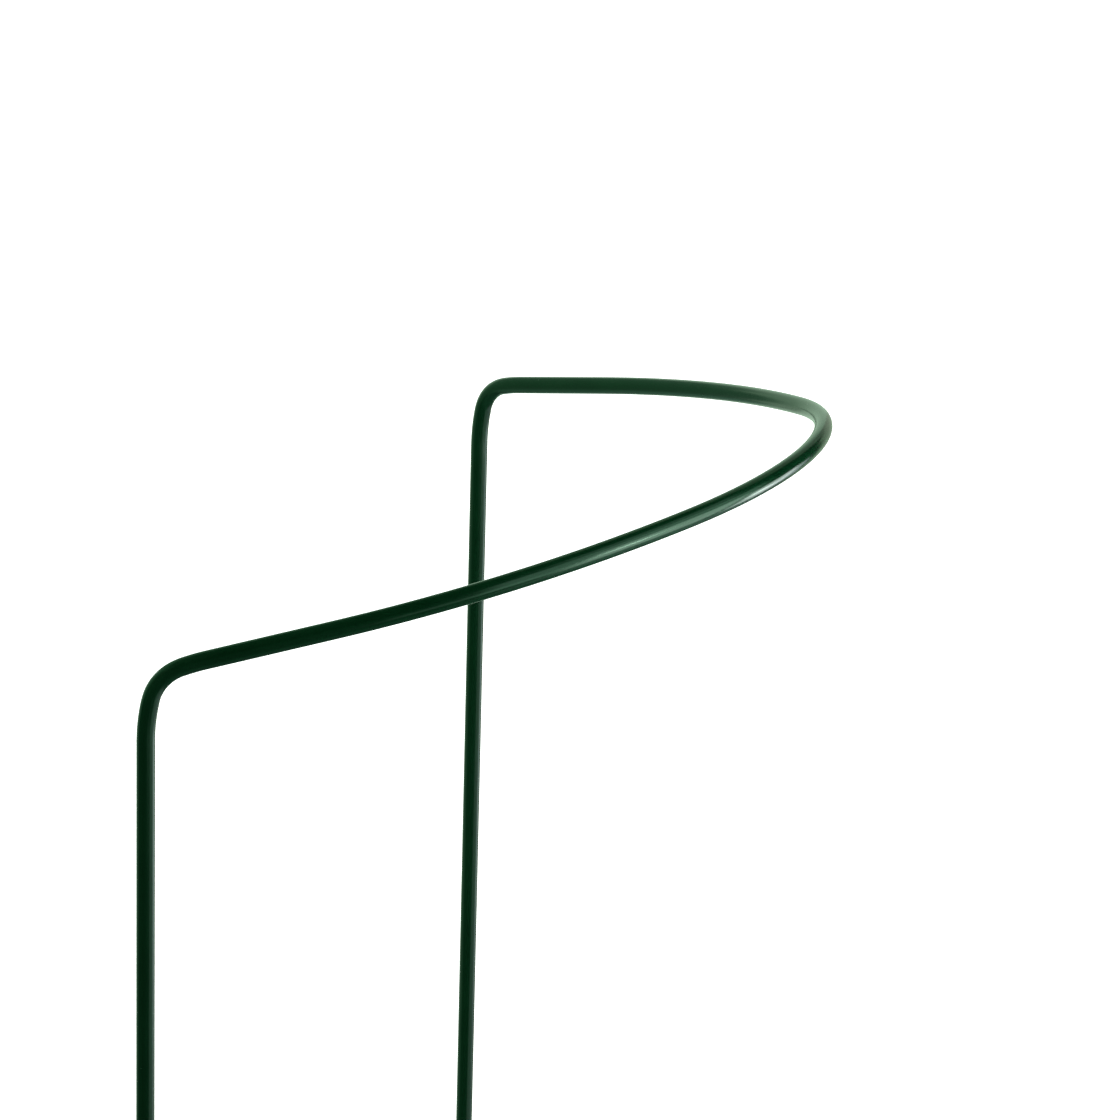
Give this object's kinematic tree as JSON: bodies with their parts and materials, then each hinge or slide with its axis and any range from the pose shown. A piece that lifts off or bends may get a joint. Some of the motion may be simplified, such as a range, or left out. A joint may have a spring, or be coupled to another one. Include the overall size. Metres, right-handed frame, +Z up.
{
  "type": "plant support",
  "caption": "Half-round plant support: a bent plastic-coated steel tube with two upright legs, a wide raised bow between them and a moulded point in each foot.",
  "frame": {"origin": "on the ground, midway between the two legs", "axes": "+Z up along the legs, +X towards the crown of the bow, Y from leg to leg"},
  "size_m": [0.2334, 0.408, 0.75],
  "materials": {
    "green_coat": "smooth satin-gloss polyethylene, dark bottle green",
    "bare_steel": "plain drawn tube, hidden inside the coat",
    "point_plastic": "moulded polyethylene, slightly duller than the coat"
  },
  "bodies": {
    "root": {"plastic_coat": "green_coat", "steel_tube": "bare_steel", "ground_point_left": "point_plastic", "ground_point_right": "point_plastic"}
  },
  "joints": []
}
